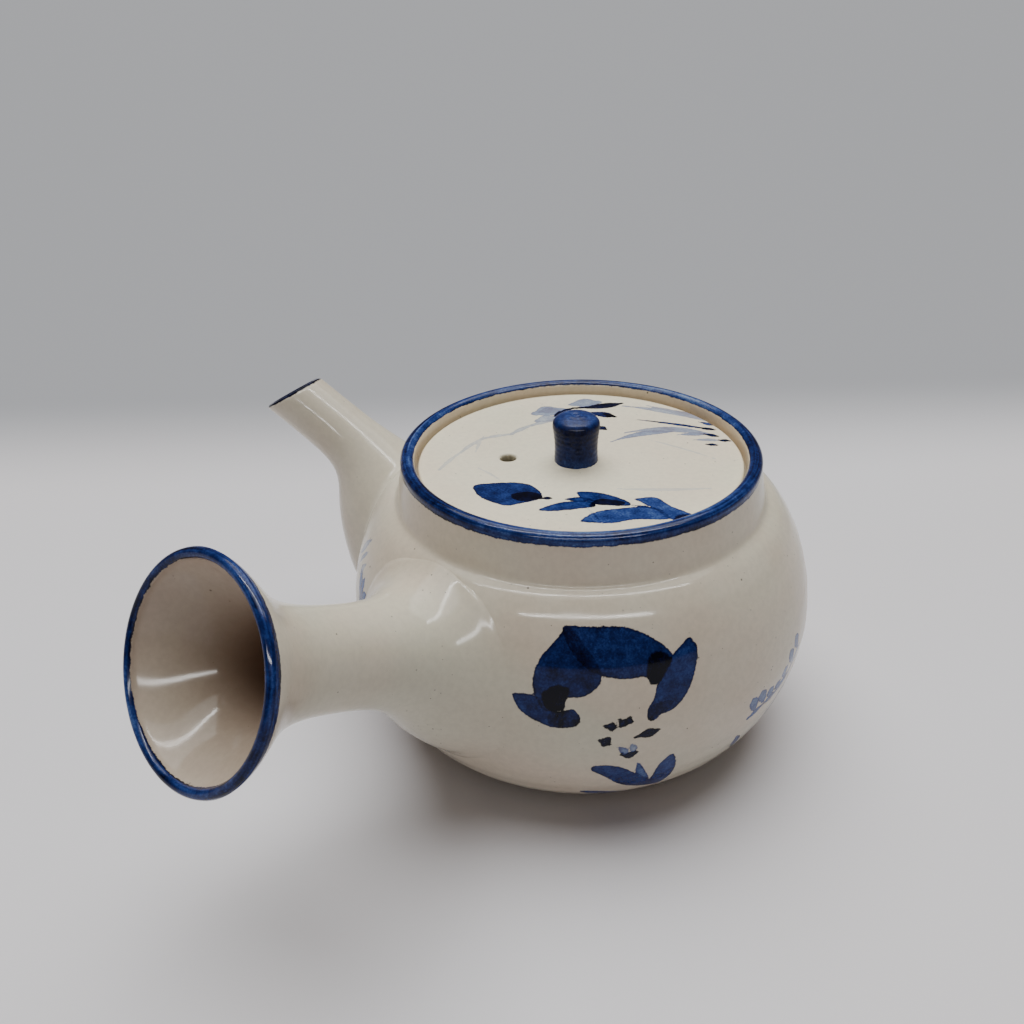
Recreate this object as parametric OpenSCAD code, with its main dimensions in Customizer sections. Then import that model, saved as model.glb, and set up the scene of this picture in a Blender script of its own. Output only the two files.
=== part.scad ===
// Side-handled stoneware teapot, thrown and luted together from six clay pieces:
// bowl, spout, hollow handle, inner strainer, sunken lid and lid knob.
// Origin: centre of the flat foot. +Z is up and +X points towards the spout.

/* [Bowl] */
// Outside radius at the widest part of the belly
belly_r = 58.2; // [52:0.1:64]
// Height of the widest part of the belly
belly_z = 34.4; // [28:0.1:40]
// Radius of the flat foot
foot_r = 36.6; // [30:0.1:42]
// Height of the turned edge of the foot
foot_h = 0.8; // [0.4:0.1:3]
// Fullness of the belly below its widest part
low_full = 1.82; // [1.5:0.01:2.5]
// Fullness of the shoulder above the widest part
high_full = 1.85; // [1.5:0.01:2.5]
// Outside radius of the neck where it rises from the shoulder
neck_r = 45.4; // [40:0.1:50]
// Height of the crease between shoulder and neck
neck_z = 63.0; // [58:0.1:66]
// Outside radius of the mouth rim
rim_r = 44.0; // [38:0.1:50]
// Inside radius of the mouth above the lid ledge
mouth_r = 40.6; // [36:0.1:46]
// Height of the top of the rim
rim_z = 74.8; // [66:0.1:84]
// Thickness of the bowl wall
wall = 3.1; // [2.4:0.1:5]
// Thickness of the floor
floor_t = 4.4; // [3:0.1:7]

/* [Lid seat] */
// Height of the ledge that the lid rests on
ledge_z = 68.6; // [62:0.1:72]
// Inside radius of the ledge
ledge_r = 36.8; // [32:0.1:39]

/* [Lid] */
// Outside radius of the lid disc
lid_r = 39.75; // [34:0.05:44]
// Thickness of the lid disc
lid_t = 3.1; // [2:0.1:5]
// Outside radius of the locating flange under the lid
flange_r = 35.7; // [30:0.1:38]
// Wall thickness of the locating flange
flange_t = 3.0; // [2:0.1:4]
// Height of the locating flange
flange_h = 6.0; // [3:0.1:10]
// Radius of the vent hole
vent_r = 2.0; // [1:0.1:3]
// Distance of the vent hole from the lid centre
vent_d = 17.7; // [10:0.1:28]
// Turn of the vent hole from the spout direction
vent_turn = 22.8; // [-45:0.1:45]

/* [Knob] */
// Radius of the knob at its base
knob_base_r = 5.3; // [4:0.05:8]
// Radius of the knob at its widest
knob_head_r = 5.75; // [4:0.05:9]
// Height of the knob above the lid
knob_h = 12.5; // [8:0.1:20]
// How far the hand-set knob stands off the lid's centre, square to the spout
knob_off = 2.3; // [0:0.1:4]

/* [Spout] */
// Thickness of the spout wall where it joins the bowl
spout_wall = 3.0; // [2:0.1:4]
// Thickness of the spout wall at its lip
lip_wall = 2.1; // [1.5:0.1:3]
// Radius of the spout where it joins the bowl
spout_root_r = 18.2; // [15:0.1:21]
// Outside radius of the spout's straight end
spout_tip_r = 7.7; // [6:0.1:10]
// Tilt of the spout's straight end above the horizontal
spout_tilt = 30.9; // [20:0.1:45]
// Tilt of the slanting lip's face above the horizontal
lip_tilt = 59.3; // [40:0.1:70]
// Distance of the lip's centre from the pot axis
tip_x = 85.8; // [75:0.1:100]
// Height of the lip's centre
tip_z = 75.0; // [66:0.1:84]
// Radius of the port through the bowl wall into the spout
port_r = 12.0; // [8:0.5:14]

/* [Handle] */
// Turn of the handle from the spout direction
handle_az = 72.9; // [60:0.1:100]
// Tilt of the handle above the horizontal
handle_tilt = 24.3; // [0:0.1:40]
// Height at which the handle's axis crosses the pot axis
handle_z = 19.0; // [5:0.1:40]
// Distance along the handle's axis from the pot axis to its mouth
handle_reach = 121.5; // [100:0.5:150]
// Outside radius of the handle's mouth
handle_mouth_r = 23.6; // [16:0.1:28]
// Outside radius of the handle's waist
handle_waist_r = 11.2; // [8:0.1:16]
// Outside radius of the handle's flared root
handle_root_r = 23.6; // [14:0.1:28]
// Thickness of the handle's wall
handle_wall = 3.2; // [2.4:0.1:5]

/* [Strainer] */
// Outside radius of the strainer cup at the bowl wall
sieve_r = 17.0; // [14:0.1:20]
// Outside radius of the strainer's pierced face
face_r = 14.5; // [11:0.1:18]
// Thickness of the strainer's clay
sieve_t = 2.2; // [1.6:0.1:3]
// How far the strainer stands in from the bowl wall
sieve_h = 10.0; // [6:0.5:14]
// Radius of each strainer hole
hole_r = 1.1; // [0.8:0.05:1.5]
// Spacing of the strainer holes
sieve_pitch = 3.6; // [3:0.1:5]

/* [Hidden] */
$fn = 96;

glaze = [0.83, 0.81, 0.76];
lid_glaze = [0.85, 0.83, 0.76];
clay = [0.78, 0.72, 0.64];
cobalt = [0.12, 0.2, 0.5];

curve_r = 41.0;
curve_z = 65.9;
lid_top = ledge_z + lid_t;
spout_root = [51.4, 39.6];
spout_tip = [tip_x, tip_z];
spout_bend = spout_tip - 26.9 * [cos(spout_tilt), sin(spout_tilt)];
root_dir = atan2(spout_bend[1] - spout_root[1], spout_bend[0] - spout_root[0]);
port_at = [54.0, 43.6];
port_dir = 37.6;

// Cubic curve through its two ends, pulled towards the two middle values
function bez(a, b, c, d, t) =
  a * pow(1 - t, 3) + 3 * b * t * pow(1 - t, 2) + 3 * c * t * t * (1 - t) + d * t * t * t;

// Quarter of a full, rounded belly between two radii and two heights
function belly(r0, r1, z0, z1, full, a) =
  [r0 + (r1 - r0) * pow(sin(a), 2 / full), z0 + (z1 - z0) * (1 - pow(cos(a), 2 / full))];
function shoulder(r0, r1, z0, z1, full, a) =
  [r0 + (r1 - r0) * pow(cos(a), 2 / full), z0 + (z1 - z0) * pow(sin(a), 2 / full)];

// Outside of the bowl from the foot to the rim
sh_end = shoulder(curve_r, belly_r, belly_z, curve_z, high_full, 57);
outer_line = concat(
  [[0, 0], [foot_r, 0], [foot_r + 0.4, foot_h]],
  [for (i = [1:14]) belly(foot_r + 0.5, belly_r, foot_h, belly_z, low_full, 90 * i / 14)],
  [for (i = [1:10]) shoulder(curve_r, belly_r, belly_z, curve_z, high_full, 57 * i / 10)],
  [for (i = [1:4])
    [bez(sh_end[0], 48.3, 46.9, neck_r + 0.4, i / 4),
     bez(sh_end[1], 62.2, 62.6, neck_z - 0.1, i / 4)]],
  [[neck_r, neck_z + 0.7], [rim_r - 0.1, rim_z - 2.6], [rim_r, rim_z - 1.6]]
);

// Rounded lip of the mouth, from outside to inside
lip_line = [
  for (i = [0:6])
    [(rim_r + mouth_r) / 2 + (rim_r - mouth_r) / 2 * cos(30 * i),
     rim_z - 1.5 + 1.5 * sin(30 * i)]
];

// Inside of the bowl from the ledge to the floor
inner_r = belly_r - wall;
inner_line = concat(
  [for (i = [0:8]) shoulder(38.6, inner_r, belly_z, 62.9, high_full, 72 - 9 * i)],
  [for (i = [1:12]) belly(30, inner_r, floor_t, belly_z, low_full, 90 - 7.3 * i)]
);
throat_r = inner_line[0][0];

// Solid outer shape of the bowl, used to trim what is luted to it
module bowl_block() {
  rotate_extrude() polygon(concat(outer_line, [[rim_r - 2, rim_z], [0, rim_z]]));
}

// Space inside the bowl below the lid ledge
module bowl_space() {
  rotate_extrude() polygon(concat([[0, ledge_z - 3.2], [throat_r, ledge_z - 3.2]], inner_line,
    [[0, floor_t]]));
}

// Bowl with neck, rolled rim, lid ledge and flat foot
module pot_body() {
  color(glaze) difference() {
    rotate_extrude() polygon(concat(
      outer_line,
      lip_line,
      [[mouth_r, ledge_z], [ledge_r, ledge_z], [ledge_r, ledge_z - 1.6],
       [throat_r, ledge_z - 3.2]],
      inner_line,
      [[0, floor_t]]
    ));
    translate([port_at[0], 0, port_at[1]]) rotate([0, 90 - port_dir, 0])
      cylinder(h = 44, r = port_r, center = true);
  }
}

// Spout: a tube that flares at its root, bends once and ends in a slanting lip
function spout_mid(t) = t < 0
  ? spout_root + 80 * t * [cos(root_dir), sin(root_dir)]
  : let (a = pow(1 - t, 2), b = 6 * t * (1 - t), c = t * t)
    (a * spout_root + b * spout_bend + c * spout_tip) / (a + b + c);
function spout_rad(t) = t < 0
  ? spout_root_r - 15 * t - 173 * t * t
  : spout_tip_r + (spout_root_r - spout_tip_r) * pow(1 - t, 2.56);
function spout_dir(t) =
  let (a = spout_mid(t + 0.01), b = spout_mid(t - 0.01)) atan2(a[1] - b[1], a[0] - b[0]);
function slant(t) = (lip_tilt - spout_tilt) * pow(max(0, (t - 0.8) / 0.2), 2);
function spout_thick(t) = spout_wall + (lip_wall - spout_wall) * max(0, t);
function ring_at(mid, dir, tilt, rad, sides) = [
  for (k = [0:sides - 1])
    let (a = 360 * k / sides, high = rad * sin(a) / cos(tilt))
    [mid[0] - high * sin(dir + tilt), rad * cos(a), mid[1] + high * cos(dir + tilt)]
];

module spout_tube() {
  sides = 40;
  stations = concat([-0.3, -0.24, -0.18, -0.12, -0.06, 0, 0.03, 0.06, 0.1, 0.15],
    [for (i = [0:10]) 0.2 + 0.07 * i], [0.94, 0.97]);
  last = len(stations) - 1;
  tilt = lip_tilt - spout_tilt;
  edge = lip_wall / 2;
  outside = [
    for (t = stations) ring_at(spout_mid(t), spout_dir(t), slant(t), spout_rad(t), sides)
  ];
  lip = [
    for (i = [0:5])
      let (back = edge * (1 - sin(36 * i)) / cos(tilt))
      ring_at(spout_tip - back * [cos(spout_tilt), sin(spout_tilt)], spout_tilt, tilt,
        spout_tip_r - edge + edge * cos(36 * i), sides)
  ];
  inside = [
    for (i = [0:last])
      let (t = stations[last - i])
      ring_at(spout_mid(t), spout_dir(t), slant(t), spout_rad(t) - spout_thick(t), sides)
  ];
  rings = concat(outside, lip, inside);
  n = len(rings);
  pts = [for (r = rings) for (p = r) p];
  faces = [
    for (i = [0:n - 1])
      for (k = [0:sides - 1])
        for (half = [0:1])
          let (
            j = (i + 1) % n,
            m = (k + 1) % sides
          )
          half == 0
            ? [i * sides + k, j * sides + k, j * sides + m]
            : [i * sides + k, j * sides + m, i * sides + m]
  ];
  polyhedron(points = pts, faces = faces);
}

module spout() {
  color(glaze) difference() {
    spout_tube();
    bowl_block();
  }
}

// Hollow handle: a trumpet shape, waisted between its mouth and its root
function handle_rad(s) =
  handle_waist_r
  + (handle_mouth_r - handle_waist_r) * exp(-pow(s / 12.2, 1.7))
  + (handle_root_r - handle_waist_r) * exp(-pow((s - 71) / 15.5, 2));

module handle() {
  stations = concat([2, 4, 6, 8], [for (i = [0:16]) 10.5 + 4.4 * i]);
  n = len(stations);
  half = handle_wall / 2;
  skin = [for (s = stations) [handle_rad(s), handle_reach - s]];
  hollow = [for (i = [0:n - 1])
    let (s = stations[n - 1 - i]) [handle_rad(s) - handle_wall, handle_reach - s]];
  lip = [
    for (i = [0:6])
      [handle_mouth_r - half - 0.25 + half * cos(30 * i),
       handle_reach - 1.1 + 1.1 * sin(30 * i)]
  ];
  color(glaze) difference() {
    translate([0, 0, handle_z]) rotate([0, 0, handle_az]) rotate([0, 90 - handle_tilt, 0])
      rotate_extrude() polygon(concat(hollow, [for (i = [0:6]) lip[6 - i]], skin));
    bowl_block();
  }
}

// Strainer: a shallow clay cup with a pierced face, set over the port inside the bowl
module strainer() {
  t = sieve_t;
  h = sieve_h;
  pitch = sieve_pitch;
  color(clay) intersection() {
    translate([port_at[0], 0, port_at[1]]) rotate([0, 270 - port_dir, 0]) difference() {
      rotate_extrude() polygon([
        [0, h], [face_r - 1.6, h], [face_r - 0.5, h - 0.45], [face_r, h - 1.5],
        [sieve_r, -4], [sieve_r - t, -4], [face_r - t, h - 1.5 - t / 2],
        [face_r - t - 0.9, h - t], [0, h - t]
      ]);
      for (i = [-3:3])
        for (j = [-3:3])
          if (abs(i + j) <= 3)
            translate([pitch * (i + j / 2), pitch * j * sqrt(3) / 2, h - t - 1])
              cylinder(h = t + 2, r = hole_r, $fn = 24);
    }
    bowl_space();
  }
}

// Lid: a flat disc with a locating flange beneath and one vent hole
module lid() {
  color(lid_glaze) difference() {
    rotate_extrude() polygon([
      [0, lid_top], [lid_r - 0.5, lid_top], [lid_r - 0.15, lid_top - 0.15],
      [lid_r, lid_top - 0.5], [lid_r, ledge_z + 0.5], [lid_r - 0.4, ledge_z],
      [flange_r, ledge_z], [flange_r - 0.2, ledge_z - flange_h + 0.6],
      [flange_r - 0.8, ledge_z - flange_h], [flange_r - flange_t + 0.6, ledge_z - flange_h],
      [flange_r - flange_t, ledge_z - flange_h + 0.6],
      [flange_r - flange_t - 0.4, ledge_z - 1.2], [flange_r - flange_t - 1.6, ledge_z],
      [0, ledge_z]
    ]);
    rotate([0, 0, vent_turn]) translate([vent_d, 0, ledge_z - 1])
      cylinder(h = lid_t + 2, r = vent_r, $fn = 48);
  }
}

// Knob: a small waisted button with a dimpled, domed top
module lid_knob() {
  r0 = knob_base_r;
  r1 = knob_head_r;
  h = knob_h;
  profile = [
    [0, 0], [r0 + 0.15, 0], [r0, 0.5], [r0 - 0.1, 0.3 * h], [r0 - 0.05, 0.45 * h],
    [r0 + 0.15, 0.6 * h], [r1 - 0.1, 0.72 * h], [r1, 0.79 * h], [r1 - 0.15, 0.85 * h],
    [0.87 * r1, 0.91 * h], [0.7 * r1, 0.955 * h], [0.48 * r1, 0.985 * h],
    [0.3 * r1, h], [0.14 * r1, 0.99 * h], [0, 0.98 * h]
  ];
  color(cobalt) translate([0, knob_off, lid_top]) rotate_extrude() polygon(profile);
}

pot_body();
spout();
handle();
strainer();
lid();
lid_knob();
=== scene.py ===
from math import cos, log, pi, radians, sin

import bpy
import numpy as np
from mathutils import Matrix, Vector


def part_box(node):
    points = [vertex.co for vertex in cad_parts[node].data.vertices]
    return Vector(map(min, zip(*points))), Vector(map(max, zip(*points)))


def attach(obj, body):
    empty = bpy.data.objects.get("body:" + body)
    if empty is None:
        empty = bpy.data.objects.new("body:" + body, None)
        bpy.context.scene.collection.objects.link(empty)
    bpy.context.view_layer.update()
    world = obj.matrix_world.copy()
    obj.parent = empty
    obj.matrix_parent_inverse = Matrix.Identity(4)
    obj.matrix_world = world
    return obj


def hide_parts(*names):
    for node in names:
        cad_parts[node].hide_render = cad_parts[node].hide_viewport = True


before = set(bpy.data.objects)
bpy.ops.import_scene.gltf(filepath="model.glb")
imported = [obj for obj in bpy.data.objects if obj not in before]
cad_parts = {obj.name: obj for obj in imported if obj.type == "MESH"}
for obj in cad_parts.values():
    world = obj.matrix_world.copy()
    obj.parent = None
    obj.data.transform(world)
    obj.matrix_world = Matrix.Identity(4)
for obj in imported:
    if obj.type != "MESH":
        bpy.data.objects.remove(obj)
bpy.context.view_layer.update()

# Lengths here are millimetres until a mesh is made, and degrees are degrees.
MM = 0.001


def span(node):
    """Lowest and highest corner of a CAD node, in millimetres."""
    low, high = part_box(node)
    return np.array(low) / MM, np.array(high) / MM


POT_HIGH = span("pot_body")[1]
LID_LOW, LID_HIGH = span("lid")
KNOB_LOW, KNOB_HIGH = span("lid_knob")

# Bowl: a fullness of 2 gives an ellipse, and less a leaner curve
BELLY_R = POT_HIGH[0]
BELLY_Z = 34.4
FOOT_R = 36.6
FOOT_H = 0.8
LOW_FULL = 1.82
HIGH_FULL = 1.85
CURVE_R = 41.0
CURVE_Z = 65.9
SHOULDER_END = 57.0
NECK_R = 45.4
NECK_Z = 63.0
RIM_R = 44.0
MOUTH_R = 40.6
RIM_Z = POT_HIGH[2]
WALL = 3.1
FLOOR = 4.4
LEDGE_Z = LID_LOW[2] + 6.0
LEDGE_R = 36.8

# Lid and knob
LID_TOP = LID_HIGH[2]
LID_R = LID_HIGH[0]
FLANGE_R = 35.7
FLANGE_T = 3.0
VENT_R = 2.0
VENT_D = 17.7
VENT_TURN = 22.8
KNOB_H = KNOB_HIGH[2] - KNOB_LOW[2]
KNOB_BASE_R = 5.3
KNOB_HEAD_R = (KNOB_HIGH[0] - KNOB_LOW[0]) / 2
KNOB_AT = (KNOB_LOW + KNOB_HIGH)[:2] / 2

# Spout: points are distance from the pot's axis and height
SPOUT_ROOT = np.array([51.4, 39.6])
SPOUT_TIP = np.array([85.8, 75.0])
SPOUT_TILT = radians(30.9)
SPOUT_END = np.array([cos(SPOUT_TILT), sin(SPOUT_TILT)])
SPOUT_BEND = SPOUT_TIP - 26.9 * SPOUT_END
SPOUT_ROOT_R = 18.2
SPOUT_TIP_R = 7.7
SPOUT_WALL = 3.0
LIP_WALL = 2.1
LIP_TILT = radians(59.3)
PORT_AT = (54.0, 43.6)
PORT_R = 12.0
PORT_DIR = 37.6

# Handle
HANDLE_AZ = 72.9
HANDLE_TILT = 24.3
HANDLE_Z = 19.0
HANDLE_START = np.array([0, 0, HANDLE_Z])
HANDLE_REACH = 121.5
HANDLE_MOUTH_R = 23.6
HANDLE_WAIST_R = 11.2
HANDLE_ROOT_R = 23.6
HANDLE_WALL = 3.2
HANDLE_LIP = 2.2

# How deep the thin edge of a joint's clay sinks into the bowl's skin, and how proud of the
# skin it may lie and still carry the bowl's painting
SKIRT_SINK = 0.2
SKIRT_PROUD = 1.3

# How far the blue bands reach from the edges of rim, handle and spout
RIM_BAND_OUT = 2.7
RIM_BAND_IN = 0.9
HANDLE_BAND = 3.0
SPOUT_BAND = 0.6

# Inside the handle, how far from the mouth the glaze starts to thin and the painted shade to
# deepen, and where the glaze is at its thinnest and the shade at its darkest
THIN_AND_SHADE_FROM = 2
THIN_AND_SHADE_TO = 32

# Sides of the turned meshes
BOWL_SIDES = 640
LID_SIDES = 480
KNOB_SIDES = 160


# ---- curves

def bezier(a, b, c, d, t):
    t = np.asarray(t, float)[..., None]
    return a * (1 - t) ** 3 + 3 * b * t * (1 - t) ** 2 + 3 * c * t * t * (1 - t) + d * t ** 3


def belly(r0, r1, z0, z1, full, turns):
    a = np.radians(turns)
    return np.stack([r0 + (r1 - r0) * np.sin(a) ** (2 / full),
                     z0 + (z1 - z0) * (1 - np.cos(a) ** (2 / full))], -1)


def shoulder(r0, r1, z0, z1, full, turns):
    a = np.radians(turns)
    return np.stack([r0 + (r1 - r0) * np.cos(a) ** (2 / full),
                     z0 + (z1 - z0) * np.sin(a) ** (2 / full)], -1)


def around(sides):
    """Angles evenly round a circle."""
    return np.linspace(0, 2 * pi, sides, endpoint=False)


def off_axis(points):
    return np.hypot(points[..., 0], points[..., 1])


def lengths(line):
    return np.concatenate([[0], np.cumsum(np.linalg.norm(np.diff(line, axis=0), axis=1))])


def resample(line, step):
    """Points a step apart along a line, with its ends kept."""
    s = lengths(line)
    n = max(2, int(round(s[-1] / step)) + 1)
    t = np.linspace(0, s[-1], n)
    return np.stack([np.interp(t, s, line[:, i]) for i in range(line.shape[1])], -1)


def soften(line, radius, fine=0.08):
    """The same line with its corners rounded to about the given radius."""
    line = resample(line, fine)
    k = np.arange(-int(3 * radius / fine), int(3 * radius / fine) + 1) * fine
    w = np.exp(-0.5 * (k / radius) ** 2)
    w /= w.sum()
    pad = len(k) // 2
    out = np.empty_like(line)
    for i in range(line.shape[1]):
        lead = 2 * line[0, i] - line[pad:0:-1, i]
        tail = 2 * line[-1, i] - line[-2:-pad - 2:-1, i]
        out[:, i] = np.convolve(np.concatenate([lead, line[:, i], tail]), w, mode="valid")
    return out


# ---- bowl profile

def bowl_outside():
    low = belly(FOOT_R + 0.5, BELLY_R, FOOT_H, BELLY_Z, LOW_FULL, np.linspace(0, 90, 80))
    high = shoulder(CURVE_R, BELLY_R, BELLY_Z, CURVE_Z, HIGH_FULL,
                    np.linspace(0, SHOULDER_END, 60))[1:]
    rise = bezier(high[-1], np.array([48.3, 62.2]), np.array([46.9, 62.6]),
                  np.array([NECK_R + 0.4, NECK_Z - 0.1]), np.linspace(0, 1, 20))[1:]
    neck = np.array([[NECK_R, NECK_Z + 0.7], [RIM_R - 0.1, RIM_Z - 2.6], [RIM_R, RIM_Z - 1.6]])
    return np.concatenate([[[FOOT_R - 0.6, 0], [FOOT_R, 0.05], [FOOT_R + 0.3, FOOT_H]],
                           low, high, rise, neck])


def bowl_lip():
    a = np.radians(np.linspace(0, 180, 30))
    mid = (RIM_R + MOUTH_R) / 2
    half = (RIM_R - MOUTH_R) / 2
    return np.stack([mid + half * np.cos(a), RIM_Z - 1.5 + 1.5 * np.sin(a)], -1)


def bowl_inside():
    inner = BELLY_R - WALL
    down = shoulder(38.6, inner, BELLY_Z, 62.9, HIGH_FULL, np.linspace(72, 0, 50))
    bottom = belly(30, inner, FLOOR, BELLY_Z, LOW_FULL, np.linspace(90, 2, 60))[1:]
    throat = down[0, 0]
    seat = np.array([[MOUTH_R, LEDGE_Z], [LEDGE_R, LEDGE_Z], [LEDGE_R, LEDGE_Z - 1.6],
                     [throat, LEDGE_Z - 3.2]])
    return np.concatenate([seat, down, bottom])


OUTSIDE = soften(bowl_outside(), 0.35)
SKIN_Z = OUTSIDE[:, 1]
SKIN_R = OUTSIDE[:, 0]


def bowl_radius(z):
    return np.interp(z, SKIN_Z, SKIN_R)


def off_bowl(points):
    """How far points are outside the bowl's skin, measured level."""
    return off_axis(points) - bowl_radius(points[..., 2])


def onto_bowl(points):
    """Points moved level onto the bowl's skin."""
    r = off_axis(points)
    k = bowl_radius(points[..., 2]) / r
    return np.stack([points[..., 0] * k, points[..., 1] * k, points[..., 2]], -1)


def bowl_normal(points):
    z = points[..., 2]
    slope = (bowl_radius(z + 0.3) - bowl_radius(z - 0.3)) / 0.6
    r = off_axis(points)
    n = np.stack([points[..., 0] / r, points[..., 1] / r, -slope], -1)
    return n / np.linalg.norm(n, axis=-1, keepdims=True)


# ---- meshes

def mesh_piece(name, points, faces):
    mesh = bpy.data.meshes.new(name)
    mesh.from_pydata([tuple(p) for p in np.asarray(points) * MM], [], faces)
    mesh.polygons.foreach_set("use_smooth", np.ones(len(mesh.polygons), bool))
    mesh.update()
    return link(bpy.data.objects.new(name, mesh))


def strip_faces(rows, columns, closed_rows=False, flip=False, offset=0):
    """Quads between successive rings of points, each ring closed on itself."""
    faces = []
    for i in range(rows if closed_rows else rows - 1):
        a = offset + i * columns
        b = offset + ((i + 1) % rows) * columns
        for k in range(columns):
            m = (k + 1) % columns
            quad = (a + k, a + m, b + m, b + k)
            faces.append(quad[::-1] if flip else quad)
    return faces


def lathe(name, line, turns, wobble=None, at=(0, 0)):
    """A turned solid that stands at a place in plan: its line runs from the axis below to the
    axis above it or inside it."""
    a = around(turns)
    body = line[1:-1]
    r, z = wobble(body, a) if wobble else (body[:, :1], np.repeat(body[:, 1:], turns, 1))
    rings = np.stack([r * np.cos(a), r * np.sin(a), z], -1)
    rows = len(body)
    points = np.concatenate([rings.reshape(-1, 3), [[0, 0, line[0, 1]], [0, 0, line[-1, 1]]]])
    faces = strip_faces(rows, turns)
    first, last = rows * turns, rows * turns + 1
    top = (rows - 1) * turns
    faces += [(first, (k + 1) % turns, k) for k in range(turns)]
    faces += [(last, top + k, top + (k + 1) % turns) for k in range(turns)]
    points[:, :2] += at
    return mesh_piece(name, points, faces)


def link(thing):
    bpy.context.scene.collection.objects.link(thing)
    return thing


def vertices(piece):
    co = np.empty(len(piece.data.vertices) * 3)
    piece.data.vertices.foreach_get("co", co)
    return co.reshape(-1, 3) / MM


def cut(piece, tool):
    """Takes one solid out of another and leaves a plain mesh."""
    modifier = piece.modifiers.new("cut", "BOOLEAN")
    modifier.operation = "DIFFERENCE"
    modifier.solver = "EXACT"
    modifier.object = tool
    graph = bpy.context.evaluated_depsgraph_get()
    result = bpy.data.meshes.new_from_object(piece.evaluated_get(graph))
    piece.modifiers.clear()
    piece.data = result
    bpy.data.objects.remove(tool)


# ---- painted decoration
# Brushwork is drawn as outlines on a flat sheet of millimetres. On the bowl the sheet is
# wrapped round the belly: its first value is degrees from the spout times DEGREE, its second
# the height. On the lid it lies on the top face. Every point of the pot then knows how far
# inside a stroke it is, and the glaze turns that into paint with a soft, grainy edge.

DEGREE = BELLY_R * pi / 180
FAR = -4.0


def closed_curve(points, steps=8):
    """A smooth closed outline through a few points."""
    p = np.array(points, float)
    a, b, c, d = np.roll(p, 1, 0), p, np.roll(p, -1, 0), np.roll(p, -2, 0)
    out = []
    for t in np.linspace(0, 1, steps, endpoint=False):
        out.append(0.5 * (2 * b + (c - a) * t + (2 * a - 5 * b + 4 * c - d) * t ** 2
                          + (3 * b - a - 3 * c + d) * t ** 3))
    return np.stack(out, 1).reshape(-1, 2)


def brush(a, b, width, bend=0.0, heel=0.5, tip=0.12):
    """The outline of one brush stroke from a to b: it swells to its width at heel."""
    a, b = np.array(a, float), np.array(b, float)
    t = np.linspace(0, 1, 18)
    along = b - a
    side = np.array([-along[1], along[0]]) / np.linalg.norm(along)
    mid = a + along * t[:, None] + side * (4 * bend * t * (1 - t))[:, None]
    power = log(0.5) / log(heel)
    half = width / 2 * np.maximum(tip, np.sin(pi * t ** power) ** 0.8)
    left = mid + side * half[:, None]
    right = mid - side * half[:, None]
    cap_a = mid[0] - along / np.linalg.norm(along) * half[0]
    cap_b = mid[-1] + along / np.linalg.norm(along) * half[-1]
    return np.concatenate([[cap_a], left, [cap_b], right[::-1]])


def depth_inside(outline, xy):
    """How far inside a closed outline each point is: negative outside."""
    a = outline
    b = np.roll(outline, -1, 0)
    e = b - a
    w = xy[:, None] - a
    t = np.clip((w * e).sum(-1) / np.maximum((e * e).sum(-1), 1e-9), 0, 1)
    d = np.linalg.norm(w - t[..., None] * e, axis=-1).min(1)
    crosses = (a[:, 1] > xy[:, 1:2]) != (b[:, 1] > xy[:, 1:2])
    x_at = a[:, 0] + (xy[:, 1:2] - a[:, 1]) * e[:, 0] / np.where(e[:, 1] == 0, 1e-9, e[:, 1])
    inside = (crosses & (xy[:, :1] < x_at)).sum(1) % 2 == 1
    return np.where(inside, d, -d)


class Painting:
    """Layers of paint over one piece: wash, wash over wash, and dark blobs."""

    def __init__(self, xy, open_to_paint):
        self.xy = xy
        self.where = np.nonzero(open_to_paint)[0]
        n = len(xy)
        self.first = np.full(n, FAR)
        self.second = np.full(n, FAR)
        self.dark = np.full(n, FAR)
        self.tone = np.zeros(n)

    def near(self, outline):
        low, high = outline.min(0) + FAR, outline.max(0) - FAR
        p = self.xy[self.where]
        return self.where[((p > low) & (p < high)).all(1)]

    def lay(self, index, depth, tone):
        over = depth > self.first[index]
        self.second[index] = np.maximum(self.second[index],
                                        np.where(over, self.first[index], depth))
        self.tone[index] = np.where(over, tone, self.tone[index])
        self.first[index] = np.maximum(self.first[index], depth)

    def wash(self, outline, tone):
        index = self.near(outline)
        if len(index):
            self.lay(index, depth_inside(outline, self.xy[index]), tone)

    def washes(self, draw, rows, bend=None, **ends):
        """Strokes from rows of start, end, width, bend (unless all share one) and tone."""
        for a, b, width, *own, tone in rows:
            self.wash(draw(a, b, width, *(own if bend is None else [bend]), **ends), tone)

    def blob(self, outline):
        index = self.near(outline)
        if len(index):
            depth = depth_inside(outline, self.xy[index])
            self.dark[index] = np.maximum(self.dark[index], depth)

    def store(self, piece):
        layers = {"paint_first": self.first, "paint_second": self.second,
                  "paint_dark": self.dark, "paint_tone": self.tone}
        for name, values in layers.items():
            attribute = piece.data.attributes.new(name, "FLOAT", "POINT")
            attribute.data.foreach_set("value", np.maximum(values, FAR).astype(np.float32))


def on_belly(points):
    """Degrees from the spout and height, as millimetres on the wrapped sheet."""
    return [(DEGREE * turn, height) for turn, height in points]


def petal(points):
    """A smooth closed outline on the belly."""
    return closed_curve(on_belly(points))


def stroke(a, b, *shape, **ends):
    """One brush stroke on the belly."""
    return brush(*on_belly([a, b]), *shape, **ends)


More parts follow.
